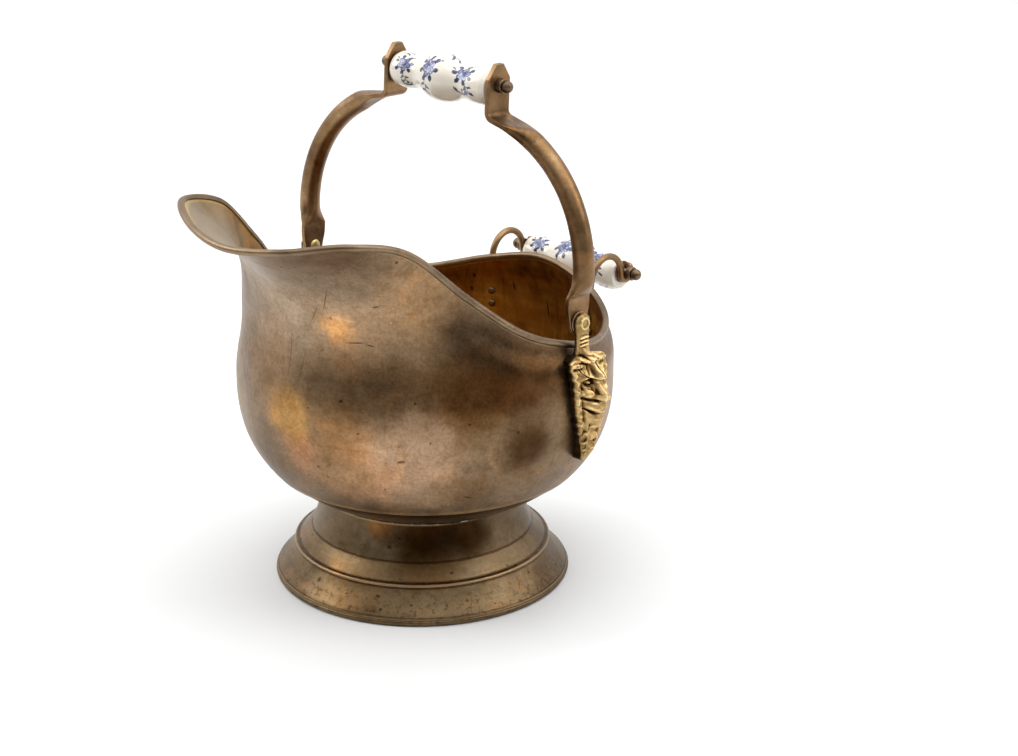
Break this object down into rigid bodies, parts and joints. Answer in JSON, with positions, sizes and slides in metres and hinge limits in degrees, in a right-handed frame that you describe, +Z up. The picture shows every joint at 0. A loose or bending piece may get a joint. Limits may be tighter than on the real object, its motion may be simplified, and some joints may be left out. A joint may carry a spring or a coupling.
{
  "type": "coal scuttle",
  "caption": "Helmet-shaped sheet brass coal scuttle on a spun foot, with a swinging bail in cast lion masks, a rear handle and turning porcelain grips.",
  "frame": {"origin": "on the ground under the middle of the overall footprint, on the foot's axis", "axes": "+Z up, -Y towards the pouring lip, +Y towards the rear handle, X along both handles' spindles"},
  "size_m": [0.345, 0.4016, 0.4099],
  "materials": {
    "sheet_brass": "aged brown patina with golden wear",
    "edge_brass": "aged, rubbed brighter on the edge",
    "cast_brass": "cast, dull gold with dark recesses",
    "bail_brass": "dark brown patina",
    "rivet_brass": "dark brown patina",
    "nut_brass": "dark brown patina, rubbed on the ball",
    "steel": "dull",
    "leather": "dry, worn",
    "porcelain": "glazed cream white with blue flower sprays"
  },
  "bodies": {
    "scuttle_body": {"foot_wire": "edge_brass", "foot": "sheet_brass", "bowl_bottom": "sheet_brass", "body_shell": "sheet_brass", "rim_wire": "edge_brass", "mask_left": "cast_brass", "mask_right": "cast_brass", "bail_pin_left": "cast_brass", "bail_pin_right": "cast_brass", "mask_rivet_upper_left": "rivet_brass", "mask_rivet_upper_right": "rivet_brass", "mask_rivet_lower_left": "rivet_brass", "mask_rivet_lower_right": "rivet_brass", "rear_hook_left": "bail_brass", "rear_hook_right": "bail_brass", "hook_rivet_upper_left": "rivet_brass", "hook_rivet_upper_right": "rivet_brass", "hook_rivet_lower_left": "rivet_brass", "hook_rivet_lower_right": "rivet_brass", "rear_spindle": "steel", "rear_washer_left": "leather", "rear_washer_right": "leather", "rear_nut_left": "nut_brass", "rear_nut_right": "nut_brass"},
    "bail": {"bail_arm_left": "bail_brass", "bail_arm_right": "bail_brass", "pin_washer_left": "rivet_brass", "pin_washer_right": "rivet_brass", "bail_spindle": "steel", "bail_washer_left": "leather", "bail_washer_right": "leather", "bail_nut_left": "nut_brass", "bail_nut_right": "nut_brass"},
    "bail_grip_roll": {"bail_grip": "porcelain"},
    "rear_grip_roll": {"rear_grip": "porcelain"}
  },
  "joints": [
    {"name": "bail_swing", "type": "hinge", "parent": "scuttle_body", "child": "bail", "pos_m": [0, 0.022, 0.23144], "axis": [1, 0, 0], "range_deg": [-78, 59]},
    {"name": "bail_grip_spin", "type": "hinge", "parent": "bail", "child": "bail_grip_roll", "pos_m": [0, 0.03203, 0.39081], "axis": [1, 0, 0], "continuous": true},
    {"name": "rear_grip_spin", "type": "hinge", "parent": "scuttle_body", "child": "rear_grip_roll", "pos_m": [0, 0.1847, 0.2081], "axis": [1, 0, 0], "continuous": true}
  ]
}
